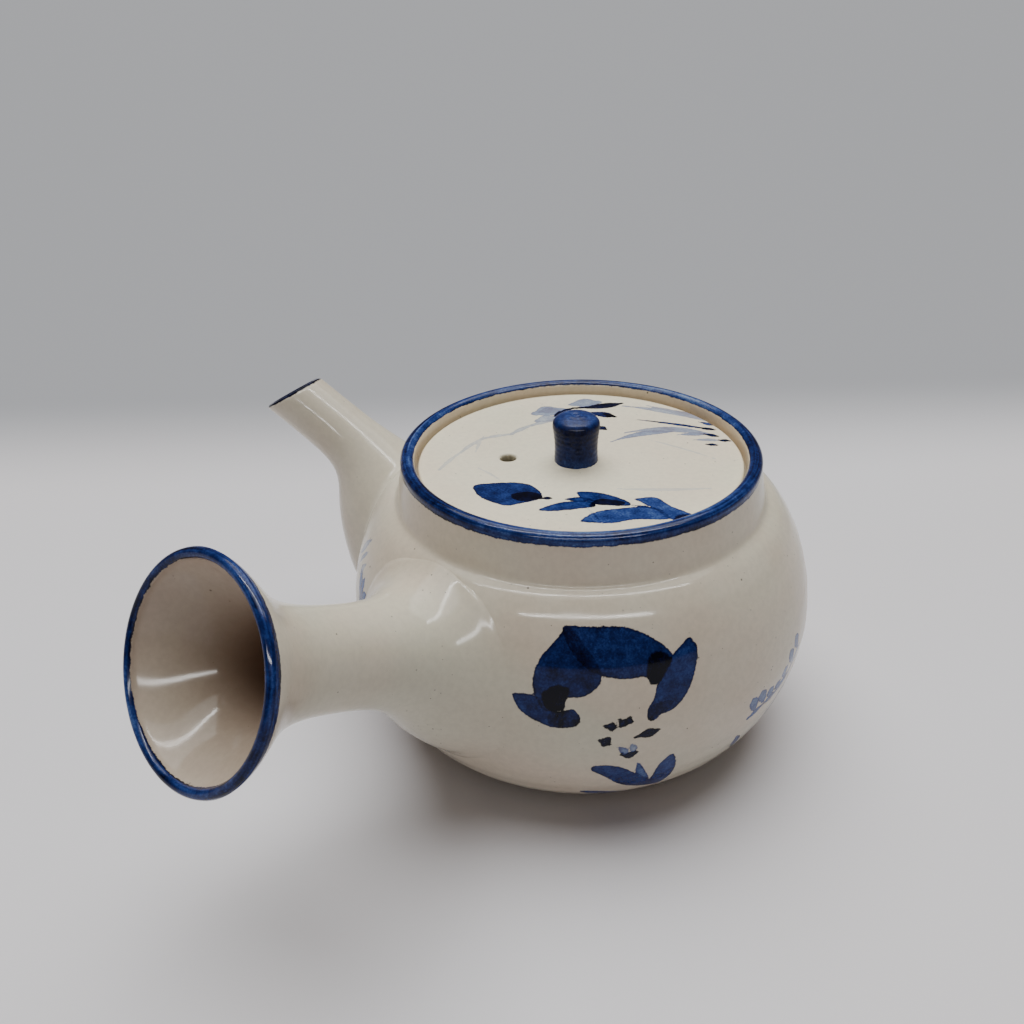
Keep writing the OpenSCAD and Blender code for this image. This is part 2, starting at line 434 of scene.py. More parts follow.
def paint_flower(paint):
    """The large drooping flower beside the handle: two broad petals over two narrow ones,
    with stamens and small leaves below."""
    left = petal([
        (110.5, 57.5), (107.5, 54.5), (104.5, 51), (103, 46.5), (104, 41.5), (106.5, 39),
        (110, 40), (110.5, 42.5), (114, 43), (117.5, 45.5), (118, 48.5), (116, 52), (113, 55.5)])
    right = petal([
        (109.5, 57.5), (114, 57.5), (119, 57.5), (124, 57), (129, 55), (133, 52), (134, 49.5),
        (131.5, 45.5), (129, 44.5), (127.5, 46.5), (123, 46.5), (118.5, 47.5), (114.5, 49.5),
        (111.5, 52.5), (110, 55)])
    far_left = petal([
        (98.5, 42), (99.5, 42.6), (104, 42.5), (106, 39.7), (109.5, 39.5), (112, 40),
        (113.5, 37.5), (112.5, 35.5), (110, 35), (107, 35), (103.5, 36.5), (100.5, 38.5)])
    far_right = petal([
        (138.5, 53), (139.5, 52.4), (140.5, 50), (139.5, 46), (138, 42.5), (136, 39.5),
        (133.5, 37.5), (131, 37), (129.5, 35.5), (128, 36.5), (128, 39), (129.5, 41.5), (130, 44),
        (131.5, 46.5), (134, 50), (136, 51.5)])
    paint.wash(left, 0.7)
    paint.wash(right, 0.66)
    paint.wash(far_left, 0.66)
    paint.wash(far_right, 0.64)
    paint.blob(petal([
        (129, 51), (131.5, 51.5), (134, 49.5), (132.5, 47.5), (130.5, 44.5), (129, 44),
        (128, 45.5), (128, 48.5)]))
    paint.blob(petal([
        (105, 43), (106.5, 44.5), (108.5, 45.5), (111, 44.5), (110, 41.5), (110, 39.5), (108, 39),
        (106, 40)]))
    paint.wash(petal([
        (106.5, 36.5), (107, 39), (109.5, 39.5), (111.5, 39.5), (113.5, 37.5), (112.5, 35.5),
        (110, 35), (108, 35)]), 0.8)
    paint.wash(petal([
        (129.5, 40), (133.5, 40), (133, 38), (130.5, 37), (129, 35.5), (128, 36.5),
        (128.5, 39)]), 0.8)
    # stamens
    paint.washes(stroke, [
        ((118.6, 35.4), (121.2, 35.2), 2.5, 0, 0.85), ((121.8, 37), (123.6, 35.8), 2.5, -0.5, 0.85),
        ((123, 35.4), (124.2, 37.4), 2.2, -0.3, 0.85),
        ((117.6, 31.6), (119.8, 30.2), 3.4, 0.4, 0.85),
        ((125.4, 31.7), (130.6, 32.8), 2.7, 0, 0.85)], heel=0.6, tip=0.4)
    paint.washes(stroke, [
        ((121.2, 29.3), (124.2, 26.4), 1.9, 0.38), ((124.6, 30), (125.4, 26.9), 1.9, 0.34)],
        0.2, heel=0.6)
    paint.wash(stroke((122.6, 26.4), (126.2, 26.8), 2.4, -0.7, tip=0.4), 0.85)
    paint.wash(petal([
        (116, 22), (117, 23), (121.5, 22.5), (125.5, 19.5), (131, 14), (133, 9.5), (127.5, 11),
        (123, 14), (119.5, 18), (116.5, 20.5)]), 0.6)
    paint.wash(petal([
        (131.5, 13), (132, 19.5), (134.5, 23.5), (136, 22), (137, 18), (137, 13.5), (135.5, 9.5),
        (132.5, 9.5)]), 0.56)
    paint.wash(petal([(126.5, 22), (127.2, 22.6), (131, 14), (127, 18)]), 0.44)
    paint.wash(stroke((113.5, 9.8), (131, 5.4), 3.2, -0.6, heel=0.4), 0.5)


def paint_frond(paint, turn, height, size=1.0, lean=1.0, tone=0.3):
    """A pale fern frond of short lobes on one side of a curved stem."""
    stem = np.array([(0, 0), (5.5, 1.5), (11, 1.9), (17, 4.5), (22.5, 9)]) * size
    stem[:, 0] *= lean
    base = np.array([turn, height])
    for a, b in zip(stem[:-1], stem[1:]):
        paint.wash(stroke(base + a, base + b, 2.2 * size, 0.2, tip=0.5), tone)
    for t in np.linspace(0.12, 0.95, 7):
        at = np.array([np.interp(t, np.linspace(0, 1, 5), stem[:, i]) for i in range(2)])
        reach = (4.6 + 1.6 * sin(9 * t)) * size
        end = at + np.array([-0.45 * lean * reach, reach])
        paint.wash(stroke(base + at, base + end, 3.3 * size, 0, heel=0.65), tone * 0.9)


def paint_grass(paint, turn, height, blades, tone=0.42):
    """A tuft of long thin leaves that fan out from one place."""
    base = np.array([turn, height])
    for reach, rise, width, bend in blades:
        paint.wash(stroke(base, base + (reach, rise), width, bend, heel=0.6, tip=0.08), tone)


def paint_belly(p, on_skin):
    """The decoration round the belly, for those points of a piece that lie on its skin."""
    turn = np.degrees(np.arctan2(p[:, 1], p[:, 0])) % 360
    paint = Painting(np.stack([turn * DEGREE, p[:, 2]], -1), on_skin)
    paint_flower(paint)
    paint_frond(paint, 156.5, 24.5, tone=0.46)
    paint_grass(paint, 166, 15.5, [(9, 9, 2.4, 0.6), (17, 13, 1.2, 0.9), (25, 13, 1.1, 1.4)], 0.66)
    paint.wash(stroke((158.5, 12), (155.5, 19), 3.2), 0.52)
    paint.wash(stroke((158, 14.5), (166, 21), 0.5), 0.14)
    # beside the spout, half hidden by the handle
    tuft = [(-3.5, 10, 3.6, -0.6), (1.5, 9, 3.0, 0.4), (5, 6.5, 2.6, 0.6)]
    paint_grass(paint, 43, 40, tuft, 0.45)
    paint.washes(stroke, [
        ((32.5, 49), (39.5, 56.5), 2.2, 0.26), ((35, 48), (41, 54), 1.4, 0.3),
        ((38.5, 46.5), (42.5, 51.5), 1.8, 0.26), ((34.5, 40), (33, 50), 0.9, 0.4)], 0.3)
    # the far side: one more small flower with leaves and a frond
    paint.washes(stroke, [
        ((262, 40), (246, 49), 9, 0.62), ((264, 40), (271, 53), 9, 0.66),
        ((266, 38), (284, 42), 7.5, 0.6), ((260, 36), (246, 33), 6, 0.6)], 1.2, heel=0.6)
    for a in [(258, 28), (263, 26), (268, 29), (262, 31.5)]:
        paint.wash(stroke(a, (a[0] + 1.8, a[1] + 0.6), 1.7, tip=0.5), 0.85)
    paint.blob(stroke((259, 39), (264, 41), 4.4, 0.4, tip=0.5))
    paint_grass(paint, 268, 15, [(-13, 7, 5, 0.8), (9, 8, 4.4, -0.8), (1, 8, 2.4, 0.2)], 0.5)
    paint_frond(paint, 318, 25, 0.9, -1.0)
    return paint


def paint_bowl(piece):
    p = vertices(piece)
    r = off_axis(p)
    on_skin = (np.abs(r - bowl_radius(p[:, 2])) < 0.6) & (p[:, 2] > 1.5) & (p[:, 2] < NECK_Z)
    paint = paint_belly(p, on_skin)
    rim_band(paint, p, r)
    paint.store(piece)


def brushed(a, across):
    """Tone of a band painted round an edge: long streaks that the turning brush leaves."""
    slow = 0.05 * np.sin(2 * a + 0.6) + 0.05 * np.sin(5 * a + 2.1)
    streak = np.sin(2 * pi * across / 1.15 + 1.6 * np.sin(3 * a) + 0.8 * np.sin(11 * a))
    fine = np.sin(2 * pi * across / 0.62 + 2.2 * np.sin(4 * a + 1) + 0.5 * np.sin(19 * a))
    return 0.66 + slow + 0.09 * streak * (0.6 + 0.4 * np.sin(7 * a)) + 0.05 * fine


def ragged_edge(a, size):
    """How much further a hand-painted band reaches at each angle."""
    return size * (0.5 * np.sin(5 * a + 1) + 0.4 * np.sin(17 * a) + 0.3 * np.sin(41 * a + 2)
                   + 0.25 * np.sin(83 * a))


def rim_band(paint, p, r):
    """The blue line painted over the rolled rim, a little way down each side."""
    a = np.arctan2(p[:, 1], p[:, 0])
    outer = r > (RIM_R + MOUTH_R) / 2
    reach_out = p[:, 2] - (RIM_Z - RIM_BAND_OUT) + ragged_edge(a, 0.12)
    reach_in = p[:, 2] - (RIM_Z - RIM_BAND_IN) + (r - (MOUTH_R + 0.1)) * 0.8
    reach_in += ragged_edge(a + 2, 0.12)
    depth = np.where(outer, reach_out, np.minimum(reach_in, 2.0))
    index = np.nonzero((p[:, 2] > RIM_Z - 4.5) & (depth > FAR))[0]
    across = r - p[:, 2]
    thin = np.where(outer, 0, 0.1 * (1 + np.sin(3 * a + 1.2)))
    tone = brushed(a, across) - thin
    paint.lay(index, np.minimum(depth[index], 1.6), tone[index])


def paint_lid(piece):
    p = vertices(piece)
    paint = Painting(p[:, :2], p[:, 2] > LID_TOP - 0.35)
    # a leaf with a dark heart, left of a long leafy stem, in front of the knob
    paint.wash(closed_curve([
        (17, 23.5), (14, 21), (9.5, 18.5), (5, 18), (1, 20.5), (0, 23.5), (3.5, 27.5), (6, 29.5),
        (12, 28.5), (15, 26.5)]), 0.64)
    paint.blob(closed_curve([(7, 24), (4.5, 21.5), (1.5, 21), (0, 22.5), (2, 25.5), (5, 26)]))
    paint.wash(brush((0.6, 23.6), (-2.4, 22), 1.8, 0.2, heel=0.75, tip=0.3), 0.8)
    paint.wash(closed_curve([
        (-6.5, 17), (-11.5, 15), (-18, 16), (-20, 18), (-15.5, 20), (-11, 20.5)]), 0.6)
    paint.wash(brush((-5.2, 21.2), (-12, 19), 2, 0.3), 0.62)
    paint.wash(closed_curve([
        (-2, 28), (-5, 23), (-10.5, 20), (-13, 21.5), (-9.5, 24.5), (-5, 27.5)]), 0.6)
    paint.blob(closed_curve([
        (-11.5, 21.5), (-12.5, 18), (-15.5, 17), (-18.5, 17), (-18, 19), (-16, 19.5), (-15.5, 21),
        (-13.5, 22)]))
    paint.wash(closed_curve([
        (-12.5, 29), (-14, 24), (-18.5, 20), (-24, 17), (-28.5, 18), (-30, 20.5), (-23.5, 23.5),
        (-19.5, 27), (-14.5, 29)]), 0.53)
    paint.wash(brush((-19, 18), (-29, 17.6), 0.9, 0.6), 0.6)
    paint.wash(closed_curve([
        (-20, 14.5), (-24, 12), (-28.5, 14.5), (-34, 16.5), (-32, 20), (-29.5, 20), (-26, 17.5),
        (-21.5, 15.5)]), 0.53)
    paint.blob(closed_curve([(-31, 19.8), (-31.8, 17.4), (-34, 16.8), (-33, 20)]))
    # behind the knob: pale blossom with two dark bars
    paint.washes(brush, [
        ((21.5, -19.5), (16, -25), 6.5, 0.34), ((19, -15.5), (15, -19.5), 4.2, 0.3),
        ((14.8, -29), (8.6, -33.5), 5.5, 0.34), ((20.7, -21.2), (16.8, -24.4), 4, 0.54)],
        0.4, tip=0.4)
    paint.wash(brush((15.8, -20), (13.2, -27.5), 2.4, 0.6, heel=0.4, tip=0.3), 0.78)
    paint.wash(brush((13.6, -27), (2.6, -35.2), 3.4, -0.6, heel=0.65, tip=0.35), 0.85)
    paint.wash(brush((11, -25.4), (1, -26.2), 3.4, 0.4, heel=0.7, tip=0.35), 0.7)
    paint.blob(brush((4, -26.6), (1, -26), 3.2, 0, heel=0.6, tip=0.4))
    paint.wash(brush((2.8, -18.6), (0.4, -17.8), 2.6, 0, tip=0.5), 0.8)
    # grasses at the right
    paint.washes(brush, [
        ((2, -33.5), (-23.5, -33.8), 3, 1.2, 0.3), ((-4, -36.4), (-24, -32.6), 2.4, 0.5, 0.28),
        ((-20, -31.6), (-24.5, -30.8), 1.6, 0.1, 0.58), ((-4, -26.5), (-25, -28.4), 1.3, 0.4, 0.6),
        ((-4.8, -17.7), (-24.6, -25.8), 3.2, 2.4, 0.32),
        ((-3.8, -11.4), (-16.4, -23.6), 2.8, 1.7, 0.34),
        ((-12, -24.2), (-16.2, -24.4), 1.9, 0.1, 0.56), ((-17.6, -21.9), (-24, -25), 2, 0.3, 0.34),
        ((-22.2, -20.6), (-28.5, -23), 1.6, 0.2, 0.3)], heel=0.6, tip=0.2)
    paint.washes(brush, [
        ((-21.5, -28.1), (-25.5, -28.5), 1.6, 0.76), ((-23.9, -25), (-27.4, -25), 1.6, 0.76),
        ((-28.1, -22.9), (-31, -23.5), 1.6, 0.76), ((-26, -19.4), (-28.7, -20.1), 1.6, 0.76)],
        0.1, tip=0.5)
    # faint lines drawn with a nearly dry brush
    paint.washes(brush, [
        ((-11, -16.5), (-30.5, -12.5), 0.7, 0.4, 0.1),
        ((-14.5, 11.5), (-34.5, 2.5), 1.3, -0.6, 0.1),
        ((20.5, 15), (12, 19), 0.7, 0.3, 0.1), ((-10, 22), (-18, 29), 0.6, 0.5, 0.1)], tip=0.4)
    twig = [(28.5, 20), (28.4, 9.5), (27.2, 0), (21.5, -5.5), (19, -12.5), (15.5, -17)]
    for i, (a, b) in enumerate(zip(twig[:-1], twig[1:])):
        paint.wash(brush(a, b, 1.2 + 0.15 * i, 0.3, tip=0.7), 0.13 + 0.03 * i)
    paint.wash(brush((25, 7.5), (27.6, -1.5), 0.9, 0.2, tip=0.4), 0.12)
    paint.store(piece)


# ---- pieces

def throwing_marks(line, a):
    """Radius and height of a turned skin with the faint rings that the hands leave."""
    s = lengths(line)[:, None]
    r, z = line[:, 0:1], line[:, 1:2]
    outside = (z > 2) & (r > bowl_radius(z) - 0.8) & (z < RIM_Z - 3)
    wave = (0.030 * np.sin(2 * pi * s / 5.3 + a)
            + 0.022 * np.sin(2 * pi * s / 8.7 - a + 1.3)
            + 0.018 * np.sin(2 * a + s / 9.0) + 0.020 * np.sin(3 * a - s / 14.0 + 0.7))
    return r + np.where(outside, wave, 0), np.broadcast_to(z, wave.shape)


def make_bowl():
    outside = resample(OUTSIDE, 0.55)
    lip = resample(bowl_lip(), 0.3)
    inside = resample(soften(bowl_inside(), 0.3), 0.9)
    gallery = np.linspace([MOUTH_R, RIM_Z - 1.6], [MOUTH_R, LEDGE_Z + 0.2], 7)
    base = np.linspace([0, 0], OUTSIDE[0], 8)[:-1]
    middle = np.linspace(inside[-1], [0, FLOOR], 8)[1:]
    line = np.concatenate([base, outside, lip[1:], gallery[1:], inside[1:], middle])
    piece = lathe("pot_bowl", line, BOWL_SIDES, throwing_marks)
    cut(piece, port_tool())
    paint_bowl(piece)
    return piece


def port_tool():
    """A plug the size of the port between the bowl and the spout."""
    line = np.array([[0, -22], [PORT_R, -22], [PORT_R, 22], [0, 22]], float)
    tool = lathe("port_tool", line, 64)
    tool.matrix_world = (Matrix.Translation(Vector((PORT_AT[0], 0, PORT_AT[1])) * MM)
                         @ Matrix.Rotation(radians(90 - PORT_DIR), 4, "Y"))
    bpy.context.view_layer.update()
    return tool


def spline(controls, count):
    """Smooth curve (uniform quadratic) that starts and ends on its first and last controls."""
    c = np.concatenate([2 * controls[:1] - controls[1:2], controls,
                        2 * controls[-1:] - controls[-2:-1]])
    spans = len(c) - 2
    u = np.linspace(0.5, spans - 0.5, count)
    i = np.minimum(u.astype(int), spans - 1)
    t = (u - i).reshape((-1,) + (1,) * (controls.ndim - 1))
    return 0.5 * ((1 - t) ** 2 * c[i] + (-2 * t * t + 2 * t + 1) * c[i + 1] + t * t * c[i + 2])


def last_inside(values, depths):
    """For each column, the generator value at which it leaves the bowl's skin."""
    inside = depths < 0
    n = len(values)
    i = np.minimum(n - 2, n - 1 - np.argmax(inside[::-1], axis=0))
    k = np.arange(depths.shape[1])
    d0, d1 = depths[i, k], depths[i + 1, k]
    return values[i] + (values[i + 1] - values[i]) * (-d0 / (d1 - d0))


def lute(skin, values):
    """Crease between a tube and the bowl: where each of its lines meets the bowl's skin,
    the bowl's normal there, and the way out from the crease along the bowl."""
    crease_v = last_inside(values, off_bowl(skin(np.repeat(values[:, None], skin.columns, 1))))
    crease = onto_bowl(skin(crease_v[None])[0])
    n = bowl_normal(crease)
    tangent = np.roll(crease, -1, 0) - np.roll(crease, 1, 0)
    out = np.cross(tangent, n)
    out /= np.linalg.norm(out, axis=1, keepdims=True)
    if ((crease - crease.mean(0)) * out).sum() < 0:
        out = -out
    return crease_v, crease, n, out


class SpoutSkin:
    columns = 144

    def __init__(self, thin):
        self.thin = thin
        self.a = around(self.columns)

    def middle(self, t):
        way = (SPOUT_BEND - SPOUT_ROOT) / np.linalg.norm(SPOUT_BEND - SPOUT_ROOT)
        u = np.maximum(t, 0)[..., None]
        a, b, c = (1 - u) ** 2, 6 * u * (1 - u), u * u
        along = (a * SPOUT_ROOT + b * SPOUT_BEND + c * SPOUT_TIP) / (a + b + c)
        return along + 80 * np.minimum(t, 0)[..., None] * way

    def radius(self, t):
        u = np.maximum(t, 0)
        low = np.minimum(t, 0)
        r = SPOUT_TIP_R + (SPOUT_ROOT_R - SPOUT_TIP_R) * np.maximum(1 - u, 0) ** 2.56
        wall = SPOUT_WALL + (LIP_WALL - SPOUT_WALL) * u
        return r - 15 * low - 173 * low * low - self.thin * wall

    def ring(self, mid, turn, tilt, r):
        high = r * np.sin(self.a) / np.cos(tilt)
        return np.stack([mid[..., 0] - high * np.sin(turn + tilt),
                         np.broadcast_to(r * np.cos(self.a), high.shape),
                         mid[..., 1] + high * np.cos(turn + tilt)], -1)

    def __call__(self, t):
        d = self.middle(t + 0.01) - self.middle(t - 0.01)
        tilt = (LIP_TILT - SPOUT_TILT) * np.maximum(0, (t - 0.8) / 0.2) ** 2
        return self.ring(self.middle(t), np.arctan2(d[..., 1], d[..., 0]), tilt, self.radius(t))


def handle_radius(s):
    return (HANDLE_WAIST_R
            + (HANDLE_MOUTH_R - HANDLE_WAIST_R) * np.exp(-(np.maximum(s, 0) / 12.2) ** 1.7)
            + (HANDLE_ROOT_R - HANDLE_WAIST_R) * np.exp(-((s - 71) / 15.5) ** 2))


def handle_axes():
    az, tilt = radians(HANDLE_AZ), radians(HANDLE_TILT)
    along = np.array([cos(az) * cos(tilt), sin(az) * cos(tilt), sin(tilt)])
    level = np.array([sin(az), -cos(az), 0])
    return along, level, np.cross(level, along)


class HandleSkin:
    columns = 160

    def __init__(self, shrink):
        self.shrink = shrink
        self.a = around(self.columns)
        self.along, self.level, self.up = handle_axes()

    def __call__(self, v):
        """v is the distance along the axis from the pot's own axis."""
        thinner = (1 - HANDLE_LIP / HANDLE_WALL) * np.exp(-((HANDLE_REACH - v) / 6) ** 2)
        return self.ring(v, handle_radius(HANDLE_REACH - v) - self.shrink * (1 - thinner))

    def ring(self, v, r):
        return (HANDLE_START + v[..., None] * self.along
                + (r * np.cos(self.a))[..., None] * self.level
                + (r * np.sin(self.a))[..., None] * self.up)


def row_finder(skin, start, end):
    """A function from distances along a tube's lines, one for each line, to its rows."""
    v = start + (end - start) * np.linspace(0, 1, 240)[:, None]
    line = skin(v)
    step = np.linalg.norm(np.diff(line, axis=0), axis=-1).cumsum(0)
    step = np.concatenate([np.zeros((1, skin.columns)), step])

    def row(distance):
        d = np.broadcast_to(distance, skin.columns)
        at = [np.interp(d[k], step[:, k], v[:, k]) for k in range(skin.columns)]
        return skin(np.array([at]))[0]

    return row, step[-1]


def luted_tube(skin, values, end, before, edge, after, count):
    """A tube's outside from its far end to the bowl, with the clay of the joint drawn out
    over the bowl. Distances are from the crease: before it along the tube, at the edge
    (along, proud of the bowl), and after it as shares of the widest the joint can be."""
    crease_v, crease, n, out = lute(skin, values)
    row, full = row_finder(skin, crease_v, end)
    room = (NECK_Z - 1.2 - crease[:, 2]) / np.maximum(out[:, 2], 0.05)
    room = np.clip(room, 0.5, after[-1])
    room = np.convolve(np.concatenate([room[-6:], room, room[:6]]), np.ones(13) / 13, "valid")
    controls = [row(distance) for distance in before]
    for along, proud in edge:
        base = row(along) if along > 0 else crease - along * out
        controls.append(base + proud * n)
    for distance in after:
        controls.append(onto_bowl(crease + (distance / after[-1] * room)[:, None] * out))
    controls[-1] -= SKIRT_SINK * bowl_normal(controls[-1])
    joint = spline(np.stack(controls), 34)
    rows = [row(before[0] + (full - before[0]) * f) for f in np.linspace(1, 0, count)]
    return np.concatenate([np.stack(rows)[:-1], joint])


def channel(skin, values, end, count):
    """The hollow of a tube, from its far end to the bowl's skin."""
    v, meet, _, _ = lute(skin, values)
    row, full = row_finder(skin, v, end)
    rows = [row(full * f) for f in np.linspace(1, 0, count)]
    return np.concatenate([np.stack(rows)[:-1], meet[None]])


def on_skirt(points):
    """Points of a joint's clay that lie on the bowl's skin, and so carry its painting."""
    return np.abs(off_bowl(points)) < SKIRT_PROUD


def make_spout():
    values = np.linspace(-0.28, 0.8, 300)
    skin = SpoutSkin(0)
    end = 0.9925
    outside = luted_tube(skin, values, end, [8, 4], [(0, 0.3)], [3, 6], 70)
    inside = channel(SpoutSkin(1), values, end, 44)
    tilt = LIP_TILT - SPOUT_TILT
    edge = LIP_WALL / 2
    lip = []
    for b in np.radians(np.linspace(0, 180, 13)):
        mid = SPOUT_TIP - edge * (1 - sin(b)) / cos(tilt) * SPOUT_END
        lip.append(skin.ring(mid, SPOUT_TILT, tilt, SPOUT_TIP_R - edge + edge * cos(b)))
    rings = np.concatenate([outside[::-1], lip[1:-1], inside])
    rows = len(rings)
    points = rings.reshape(-1, 3)
    piece = mesh_piece("pot_spout", points, strip_faces(rows, skin.columns, True))
    face = np.array([cos(LIP_TILT), 0, sin(LIP_TILT)])
    depth = SPOUT_BAND - (np.array([SPOUT_TIP[0], 0, SPOUT_TIP[1]]) - points) @ face
    outer = np.arange(len(points)) < len(outside) * skin.columns
    paint = paint_belly(points, outer & on_skirt(points))
    index = np.nonzero(depth > FAR)[0]
    paint.lay(index, np.minimum(depth[index], 1.2), 0.8)
    paint.store(piece)
    return piece


def make_handle():
    values = np.linspace(44, 100, 300)
    end = HANDLE_REACH - 1.2
    skin = HandleSkin(0)
    outside = luted_tube(skin, values, end, [10, 6], [(2.6, 0.5), (-0.4, 1.0), (-2.6, 0.35)],
                         [3.6, 6.0], 100)
    inside = channel(HandleSkin(HANDLE_WALL), values, end, 60)
    half = HANDLE_LIP / 2
    lip = []
    for b in np.radians(np.linspace(0, 180, 17)):
        r = HANDLE_MOUTH_R - half - 0.3 + half * cos(b)
        lip.append(skin.ring(np.array(end + 0.1 + 1.1 * sin(b)), r))
    rings = np.concatenate([outside[::-1], lip, inside])
    rows, columns = len(rings), skin.columns
    points = rings.reshape(-1, 3)
    piece = mesh_piece("pot_handle", points, strip_faces(rows, columns, True, True))
    # blue line round the mouth, a little deeper outside than inside
    v = (points - HANDLE_START) @ skin.along
    turn = np.tile(skin.a, rows)
    outer = np.repeat(np.arange(rows), columns) < len(outside) + 6
    inner_reach = 1.15 - 0.45 * np.cos(turn) - 0.25 * np.sin(turn)
    depth = v - HANDLE_REACH + np.where(outer, HANDLE_BAND, inner_reach) + ragged_edge(turn, 0.12)
    paint = paint_belly(points, outer & on_skirt(points))
    index = np.nonzero(depth > FAR)[0]
    across = np.where(outer, 1, -1) * (HANDLE_REACH - v)
    paint.lay(index, np.minimum(depth[index], 1.6), brushed(turn, across)[index])
    paint.store(piece)
    return piece


def make_lid():
    inner, low = FLANGE_R - FLANGE_T, LID_LOW[2]
    edge = np.array([[LID_R - 0.5, LID_TOP], [LID_R - 0.15, LID_TOP - 0.15],
                     [LID_R, LID_TOP - 0.5], [LID_R, LEDGE_Z + 0.5], [LID_R - 0.4, LEDGE_Z],
                     [FLANGE_R, LEDGE_Z], [FLANGE_R - 0.2, low + 0.6], [FLANGE_R - 0.8, low],
                     [inner + 0.6, low], [inner, low + 0.6], [inner - 0.4, LEDGE_Z - 1.2],
                     [inner - 1.6, LEDGE_Z]])
    edge = resample(soften(edge, 0.15), 0.45)[::-1]
    under = np.linspace([0, LEDGE_Z], edge[0], 40)[:-1]
    top = np.linspace(edge[-1], [0, LID_TOP], 88)[1:]

    def pressed(body, a):
        """A top that dips very slightly, with slip drawn up round the foot of the knob."""
        r, z = body[:, 0:1], body[:, 1:2]
        off = np.hypot(r * np.cos(a) - KNOB_AT[0], r * np.sin(a) - KNOB_AT[1]) - KNOB_BASE_R
        dip = 0.10 * np.clip(off / 6, 0, 1) * np.clip((LID_R - r) / 4, 0, 1)
        slip = 0.55 * np.exp(-np.maximum(off, 0) / 0.5) * (off > -1)
        return np.broadcast_to(r, dip.shape), z + np.where(z > LID_TOP - 0.01, slip - dip, 0)

    piece = lathe("lid_disc", np.concatenate([under, edge, top]), LID_SIDES, pressed)
    cut(piece, vent_tool())
    paint_lid(piece)
    return piece


def vent_tool():
    """The vent, with edges that the finger has rounded."""
    top = LID_TOP - 0.1
    a = np.radians(np.linspace(0, 90, 8))
    flare = np.stack([VENT_R + 0.7 * (1 - np.cos(a)), top - 0.7 + 0.7 * np.sin(a)], -1)
    line = np.concatenate([[[0, LEDGE_Z - 1], [VENT_R, LEDGE_Z - 1]], flare,
                           [[VENT_R + 0.8, top + 1], [0, top + 1]]])
    turn = radians(VENT_TURN)
    return lathe("vent_tool", line, 48, at=(VENT_D * cos(turn), VENT_D * sin(turn)))


def make_knob():
    r0, r1, h = KNOB_BASE_R, KNOB_HEAD_R, KNOB_H
    side = np.array([[0, 0], [r0 + 0.1, 0], [r0, 0.5], [r0 - 0.1, 0.3 * h], [r0 - 0.05, 0.45 * h],
                     [r0 + 0.15, 0.6 * h], [r1 - 0.1, 0.72 * h], [r1, 0.79 * h],
                     [r1 - 0.15, 0.85 * h], [0.87 * r1, 0.91 * h], [0.7 * r1, 0.955 * h],
                     [0.48 * r1, 0.985 * h], [0.3 * r1, h], [0.14 * r1, 0.995 * h], [0, 0.99 * h]])
    line = soften(side, 0.22)
    line = resample(line, 0.16)
    line[:, 1] += LID_TOP
    line[0, 0] = line[-1, 0] = 0

    def spiral(body, a):
        """A finger's spiral pressed into the top."""
        r, z = body[:, 0:1], body[:, 1:2]
        on_top = np.clip((z - (LID_TOP + 0.88 * h)) / (0.06 * h), 0, 1)
        turns = np.cos(2 * pi * r / 1.5 - a)
        fade = np.clip(1.25 - r / 3.4, 0, 1)
        z = z + on_top * fade * (0.09 * turns - 0.06)
        side_rings = 0.02 * np.sin(2 * pi * body[:, 1:2] / 1.3) * (1 - on_top)
        return np.broadcast_to(r, z.shape) + side_rings, z

    return lathe("lid_button", line, KNOB_SIDES, spiral, KNOB_AT)


# ---- materials

